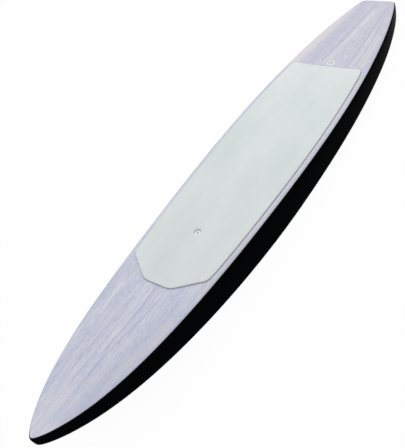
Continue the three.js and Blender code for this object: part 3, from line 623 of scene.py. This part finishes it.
def pad_outline():
    """The pad's plan: its sides keep one margin from the rail, and every corner is a quadratic
    curve that starts and ends one leg away from it."""
    side = float(half_width(PAD_REAR)) - PAD_MARGIN
    front_side = float(half_width(PAD_SIDE_END)) - PAD_MARGIN
    corners = np.array([
        [PAD_REAR, 0], [PAD_REAR, side], [PAD_SIDE_END, front_side],
        [PAD_FRONT, PAD_FRONT_HALF], [PAD_FRONT, 0],
    ])
    share = np.linspace(0, 1, 13)[:, None]

    def rounded(index):
        before, corner, after = corners[index - 1:index + 2]
        start = corner + (before - corner) * PAD_CORNER_LEG / np.linalg.norm(before - corner)
        end = corner + (after - corner) * PAD_CORNER_LEG / np.linalg.norm(after - corner)
        return blend(blend(start, corner, share), blend(corner, end, share), share)

    side_x = np.linspace(PAD_REAR, PAD_SIDE_END, 60)[2:-2]
    side_line = np.stack([side_x, half_width(side_x) - PAD_MARGIN], axis=1)
    rear = np.linspace(corners[0], rounded(1)[0], 14, endpoint=False)
    slant = np.linspace(rounded(2)[-1], rounded(3)[0], 8)[1:-1]
    front = np.linspace(rounded(3)[-1], corners[4], 8)[1:]
    port = np.concatenate([rear, rounded(1), side_line, rounded(2), slant, rounded(3), front])
    starboard = port[-2:0:-1] * (1, -1)
    return np.concatenate([port, starboard])


pad_plan = pad_outline()


def grown(outline, distance):
    """An outline moved outwards along its normals."""
    along = np.roll(outline, -1, axis=0) - np.roll(outline, 1, axis=0)
    normal = np.stack([along[:, 1], -along[:, 0]], axis=1)
    normal /= np.linalg.norm(normal, axis=1)[:, None]
    area = np.sum(outline[:, 0] * np.roll(outline[:, 1], -1) - np.roll(outline[:, 0], -1) * outline[:, 1])
    return outline + normal * distance * np.sign(area)


def pad_sheet(name, low, high, edge, hole_radius):
    """A sheet that follows the deck, with the vent's hole. Its edge is a list of places, each an
    outset from the pad's plan and a share of the sheet's thickness, from the bottom to the top."""
    middle = (PAD_REAR + PAD_FRONT) / 2

    def ring(outset, height, share=1.0):
        plan = grown(pad_plan, outset)
        x = blend(plan[:, 0], middle, 0.05 * (1 - share))
        y = plan[:, 1] * share
        return np.stack([x, y, deck_height(x, y) + height], axis=1)

    shares = np.linspace(0, 1, 16)[:-1]
    bottom = [ring(edge[0][0], low, share) for share in shares]
    walls = [ring(outset, blend(low, high, up)) for outset, up in edge]
    top = [ring(edge[-1][0], high, share) for share in shares[::-1]]
    sheet = ring_piece(name, bottom + walls + top)
    hole = placed(prism("hole", circle(hole_radius), -PAD_CUT_BELOW, PAD_CUT_ABOVE), matrix=vent_seat)
    return smooth(combine(sheet, [hole]), PAD_SHARP_DEGREES)


base_edge = [(0.35 * MM, 0.0), (0.25 * MM, 0.5), (0.0, 1.0)]
top_edge = [(0.0, 0.0), (-0.2 * MM, 0.3), (-0.7 * MM, 0.75), (-1.3 * MM, 0.94), (-2.2 * MM, 1.0)]
pad_low = PAD_SEAT + PAD_BASE + PAD_GLUE_LINE
pad_high = pad_low + PAD_TOP
collar_radius = PAD_HOLE_RADIUS + PAD_COLLAR_WALL
pad_base = pad_sheet("pad_base_sheet", PAD_SEAT, PAD_SEAT + PAD_BASE, base_edge, collar_radius + FIT_GAP)
pad_top = pad_sheet("pad_top_sheet", pad_low, pad_high, top_edge, collar_radius - FIT_GAP)
collar = placed(prism("collar", circle(collar_radius), PAD_SEAT, pad_high), matrix=vent_seat)
mouth = placed(prism("hole", circle(PAD_HOLE_RADIUS), -PAD_CUT_BELOW, PAD_CUT_ABOVE), matrix=vent_seat)
combine(pad_top, [combine(collar, [mouth])], "UNION")
flare_foot = circle(PAD_HOLE_RADIUS - PAD_FLARE_INSET)
flare_rim = circle(PAD_HOLE_RADIUS + PAD_FLARE)
flare_top = pad_high + PAD_FLARE_OVERRUN
flare = prism("hole", flare_foot, flare_top - PAD_FLARE_DEPTH, flare_top, flare_rim)
smooth(combine(pad_top, [placed(flare, matrix=vent_seat)]), PAD_SHARP_DEGREES)


# Closed-cell EVA, skived and brushed: it looks dry and soft. Its cells, about 0.3 mm across, are
# drawn at 2 mm so that they show as a soft tooth. Skiving and use leave faint clouds, longer than wide.
def foam_material(name, colours, rough):
    """Cut foam: two near tones that drift over the sheet, and a fine grain in the bump."""
    material, place = new_material(name)
    drift = grain_pattern(material, place, (2.6, 7, 1), detail=4.0, rough=0.6, offset=(2, 9, 0))
    cells = grain_pattern(material, place, (420, 420, 420), detail=2.0)
    ramp = add_node(material, "ShaderNodeValToRGB", Fac=drift)
    ramp.color_ramp.elements[0].position, ramp.color_ramp.elements[0].color = 0.3, linear(colours[0])
    ramp.color_ramp.elements[1].position, ramp.color_ramp.elements[1].color = 0.7, linear(colours[1])
    bump = add_node(material, "ShaderNodeBump", {"Strength": 0.25, "Distance": 0.25 * MM}, Height=cells)
    shader = add_node(
        material, "ShaderNodeBsdfPrincipled", {"Roughness": rough, "Specular IOR Level": 0.2},
        Base_Color=ramp.outputs["Color"], Normal=bump.outputs["Normal"],
    )
    add_node(material, "ShaderNodeOutputMaterial", Surface=shader.outputs["BSDF"])
    return material


pad_top.data.materials.append(foam_material("pale_eva_foam_skived", ("#d0d8d7", "#dae0df"), rough=0.85))
pad_base.data.materials.append(foam_material("dark_eva_foam_cut", ("#969a9d", "#9fa3a5"), rough=0.9))
for piece, node, finish in (
    (pad_base, "pad_base_layer", "dark_eva"), (pad_top, "pad_top_layer", "pale_eva"),
):
    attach(piece, "board")
    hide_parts(node)

# Vent: a white acetal plug with a flange flush in the deck, a vent screw with a hex socket and an
# O-ring under its head, and a white film across its breather hole. The screw turns out by hand key.
# Its socket is painted grey, a painted shade in the recess.
HARD_SHARP_DEGREES, BEVEL_FROM_DEGREES, FLAT_WITHIN_DEGREES = 35, 40, 1


def eased(node, material, width, segments=3):
    """A stand-in for a hard CAD part: the same faces, flat ones whole again, with its sharp edges
    rounded to a radius as moulding and machining leave them."""
    piece = bpy.data.objects.new(f"{node}_finished", nodes[node].data.copy())
    bpy.context.scene.collection.objects.link(piece)
    work = bmesh.new()
    work.from_mesh(piece.data)
    bmesh.ops.remove_doubles(work, verts=work.verts, dist=SAME_PLACE)
    flat = math.radians(FLAT_WITHIN_DEGREES)
    bmesh.ops.dissolve_limit(work, angle_limit=flat, verts=work.verts, edges=work.edges)
    work.to_mesh(piece.data)
    work.free()
    if width:
        bevel = piece.modifiers.new("eased_edges", "BEVEL")
        bevel.width, bevel.segments = width, segments
        bevel.limit_method, bevel.angle_limit = "ANGLE", math.radians(BEVEL_FROM_DEGREES)
    piece.data.materials.clear()
    piece.data.materials.append(material)
    smooth(piece, HARD_SHARP_DEGREES)
    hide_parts(node)
    return piece


def moulded(name, colour, rough, grain_mm=0.6, bump=0.08, metal=0.0, level=0.5, second=None):
    """A plain material of one colour, with a fine surface grain whose waves are grain_mm long. A
    second colour takes over along the distance from a point, between two distances."""
    material, place = new_material(name)
    links = {}
    if second:
        other, point, stretch, low, high = second
        back_by = [-way * size for way, size in zip(point, stretch)]
        centred = add_node(
            material, "ShaderNodeMapping", {"Location": back_by, "Scale": stretch}, Vector=place,
        )
        distance = add_node(
            material, "ShaderNodeVectorMath", {"operation": "LENGTH"}, i0=centred.outputs["Vector"],
        )
        share = add_node(
            material, "ShaderNodeMapRange", {"From Min": low, "From Max": high},
            Value=distance.outputs["Value"],
        )
        tone = add_node(
            material, "ShaderNodeMix", {"data_type": "RGBA", 6: linear(colour), 7: linear(other)},
            i0=share.outputs["Result"],
        )
        links["Base_Color"] = tone.outputs[2]
    wave = 1 / (grain_mm * MM)
    grain = grain_pattern(material, place, (wave, wave, wave), detail=2.0)
    spread = add_node(
        material, "ShaderNodeMapRange", {"To Min": rough * 0.88, "To Max": min(1.0, rough * 1.12)},
        Value=grain,
    )
    texture = add_node(material, "ShaderNodeBump", {"Strength": bump, "Distance": 0.1 * MM}, Height=grain)
    shader = add_node(
        material, "ShaderNodeBsdfPrincipled",
        {"Base Color": linear(colour), "Metallic": metal, "Specular IOR Level": level},
        Roughness=spread.outputs["Result"], Normal=texture.outputs["Normal"], **links,
    )
    add_node(material, "ShaderNodeOutputMaterial", Surface=shader.outputs["BSDF"])
    return material


# The screw's socket and the middle of its head are painted grey round its axis: a painted shade in the
# recess.
ACETAL_WHITE, SOCKET_PAINTED_SHADE = "#e9eded", "#9c9ca0"
PAINTED_SHADE_END, UNSHADED_START = 3.4 * MM, 3.8 * MM
white_acetal = moulded("white_acetal_moulded", ACETAL_WHITE, rough=0.36)
black_rubber = moulded("black_nitrile_rubber", "#141414", rough=0.6, bump=0.15)
film = moulded("white_breathing_film", "#e9eaea", rough=0.8, grain_mm=0.3, bump=0.2)
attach(eased("vent_housing", white_acetal, 0.3 * MM), "board")
acetal_with_painted_shade = moulded(
    "white_acetal_with_painted_socket_shade", SOCKET_PAINTED_SHADE, rough=0.36,
    second=(ACETAL_WHITE, (VENT_X, 0, 0), (1, 1, 0), PAINTED_SHADE_END, UNSHADED_START),
)
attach(eased("vent_screw", acetal_with_painted_shade, 0.3 * MM), "vent_screw")
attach(eased("vent_o_ring", black_rubber, 0), "vent_seal")
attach(eased("vent_membrane", film, 0), "board")

# Leash plug: a moulded cup of warm white nylon with a flange flush in the deck. A stainless pin
# crosses it to take the leash string. Inside its rim it is painted brighter, a painted light against the
# shade deep in the cup.
PAINTED_LIGHT_END, RIM_TONE_START = 12.2 * MM, 12.8 * MM
warm_nylon = moulded(
    "warm_white_nylon_with_painted_light_inside", "#fdfdfb", rough=0.5, level=0.3,
    second=("#e4e8e7", (LEASH_X, 0, 0), (1, 1, 0), PAINTED_LIGHT_END, RIM_TONE_START),
)
steel = moulded("a4_stainless_steel_satin", "#dfe1e1", rough=0.45, grain_mm=0.4, metal=1.0)
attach(eased("leash_cup", warm_nylon, 0.5 * MM), "board")
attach(eased("leash_pin", steel, 0), "board")

# Foil tracks: two moulded channels of black glass-filled nylon, let in flush with the bottom, each
# with a slot for the mast bolts, an entry for the nuts at the middle, and two M8 brass nuts.
black_nylon = moulded("black_glass_filled_nylon", "#1b1b1d", rough=0.5, grain_mm=0.5, bump=0.2)
brass = moulded("machined_brass", "#b7974f", rough=0.3, grain_mm=0.4, metal=1.0)
for side in ("port", "starboard"):
    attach(eased(f"foil_track_{side}", black_nylon, 0.4 * MM), "board")
    for end in ("front", "rear"):
        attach(eased(f"track_nut_{side}_{end}", brass, 0.3 * MM), f"track_nut_{side}_{end}")

# Carry handle: a moulded tub in the bottom with a rubber-covered bar across its mouth, held by two
# stainless screws.
grip_rubber = moulded("black_grip_rubber", "#19191a", rough=0.75, grain_mm=1.2, bump=0.3)
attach(eased("handle_tub", black_nylon, 0.6 * MM), "board")
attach(eased("handle_grip", grip_rubber, 0), "board")
for end in ("front", "rear"):
    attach(eased(f"handle_screw_{end}", steel, 0.2 * MM), "board")

# Inside, out of sight: the bead-foam blank, the foam sheets over it, and the denser blocks that hold
# the tracks and plugs. The solids stay as they are.
BEAD_SIZE = 3.5 * MM
bead_foam, place = new_material("expanded_polystyrene_bead_foam")
beads = add_node(bead_foam, "ShaderNodeTexVoronoi", {"Scale": 1 / BEAD_SIZE}, Vector=place)
bead_tone = add_node(bead_foam, "ShaderNodeValToRGB", Fac=beads.outputs["Distance"])
for element, hex_text in zip(bead_tone.color_ramp.elements, ("#f6f6f3", "#dededa")):
    element.color = linear(hex_text)
bead_bump = add_node(
    bead_foam, "ShaderNodeBump", {"Strength": 0.4, "Distance": 0.4 * MM, "invert": True},
    Height=beads.outputs["Distance"],
)
shader = add_node(
    bead_foam, "ShaderNodeBsdfPrincipled", {"Roughness": 0.85, "Specular IOR Level": 0.3},
    Base_Color=bead_tone.outputs["Color"], Normal=bead_bump.outputs["Normal"],
)
add_node(bead_foam, "ShaderNodeOutputMaterial", Surface=shader.outputs["BSDF"])
sheet_foam = moulded("pvc_sheet_foam", "#d9c799", rough=0.85, grain_mm=0.8, bump=0.4, level=0.3)
block_foam = moulded("dense_block_foam", "#c9b27a", rough=0.8, grain_mm=0.5, bump=0.3, level=0.3)
for node, material in (
    ("foam_core", bead_foam), ("deck_foam_sheet", sheet_foam), ("bottom_foam_sheet", sheet_foam),
    ("stance_sheet", block_foam), ("track_block", block_foam), ("vent_block", block_foam),
    ("leash_block", block_foam),
):
    for slot in nodes[node].material_slots:
        slot.material = material

# Camera, floor and lights. The camera stands off the nose's port side, above, and is rolled as the
# photograph is; its distances are in metres and its focal length and centre in pixels.
IMAGE = (405, 448)
AZIMUTH, ELEVATION, ROLL = (math.radians(value) for value in (145.225, 44.103, -27.344))
DISTANCE, FOCAL = 2521.7 * MM, 644.11
CENTRE_SHIFT = (-7.03, -5.23)
target = Vector((211.23 * MM, -120.36 * MM, 60 * MM))
back = Vector((
    math.sin(AZIMUTH) * math.cos(ELEVATION), -math.cos(AZIMUTH) * math.cos(ELEVATION), math.sin(ELEVATION),
))
level = (-back).cross(Vector((0, 0, 1))).normalized()
upright = level.cross(-back)
right = level * math.cos(ROLL) + upright * math.sin(ROLL)
up = upright * math.cos(ROLL) - level * math.sin(ROLL)
camera = bpy.data.objects.new("camera", bpy.data.cameras.new("camera"))
bpy.context.scene.collection.objects.link(camera)
stand = Matrix.Translation(target + back * DISTANCE)
camera.matrix_world = stand @ Matrix((right, up, back)).transposed().to_4x4()
camera.data.sensor_width = 36
camera.data.lens = FOCAL * camera.data.sensor_width / max(IMAGE)
camera.data.shift_x = -CENTRE_SHIFT[0] / max(IMAGE)
camera.data.shift_y = CENTRE_SHIFT[1] / max(IMAGE)
camera.data.clip_start, camera.data.clip_end = 0.05, 100
bpy.context.scene.camera = camera
bpy.context.scene.view_settings.view_transform = "Standard"


def in_sight(owner, glossy_share):
    """1 where a surface is seen by the camera or through glass, a share in a reflection, else 0."""
    path = add_node(owner, "ShaderNodeLightPath")
    total = path.outputs["Is Camera Ray"]
    for ray, share in (("Is Transmission Ray", 1.0), ("Is Glossy Ray", glossy_share)):
        total = add_node(
            owner, "ShaderNodeMath", {"operation": "MULTIPLY_ADD", "use_clamp": True, 1: share},
            i0=path.outputs[ray], i2=total,
        ).outputs[0]
    return total


# A pale paper sweep: it is seen as white, lights the board as a light grey one does, and keeps the
# board's shadow. It lies just under the flat of the bottom.
floor_material, _ = new_material("pale_studio_floor")
matte = add_node(floor_material, "ShaderNodeBsdfDiffuse", {"Color": linear("#e0e0e0")})
glow = add_node(floor_material, "ShaderNodeEmission", {"Color": (1, 1, 1, 1), "Strength": 1.0})
seen = add_node(
    floor_material, "ShaderNodeMapRange", {"To Max": 0.97},
    Value=in_sight(floor_material, glossy_share=0.05),
)
both = add_node(
    floor_material, "ShaderNodeMixShader",
    i0=seen.outputs["Result"], i1=matte.outputs["BSDF"], i2=glow.outputs["Emission"],
)
add_node(floor_material, "ShaderNodeOutputMaterial", Surface=both.outputs["Shader"])
FLOOR_REACH, FLOOR_HEIGHT = 30.0, -0.5 * MM
corner_signs = np.array([[-1, -1], [1, -1], [1, 1], [-1, 1]])
floor_points = np.column_stack([corner_signs * FLOOR_REACH, np.full(4, FLOOR_HEIGHT)])
floor = make_piece("studio_floor", floor_points, [[0, 1, 2, 3]])
floor.data.materials.append(floor_material)

world = bpy.data.worlds.new("studio")
bpy.context.scene.world = world
world.use_nodes = True
world_nodes = world.node_tree.nodes
world_nodes["Background"].inputs["Color"].default_value = (1, 1, 1, 1)
strength = add_node(
    world, "ShaderNodeMapRange", {"To Min": 0.74, "To Max": 1.0}, Value=in_sight(world, glossy_share=1.0),
)
world.node_tree.links.new(strength.outputs["Result"], world_nodes["Background"].inputs["Strength"])


def soft_box(name, place, aim, size, power):
    """A square area lamp at a place, turned to face a point."""
    lamp = bpy.data.lights.new(name, "AREA")
    lamp.shape, lamp.size, lamp.energy = "SQUARE", size, power
    holder = bpy.data.objects.new(name, lamp)
    holder.location = place
    holder.rotation_euler = (Vector(aim) - Vector(place)).to_track_quat("-Z", "Y").to_euler()
    bpy.context.scene.collection.objects.link(holder)


soft_box("key_light", place=(-2.4, -1.3, 3.4), aim=(0, 0, 0.1), size=2.4, power=66)
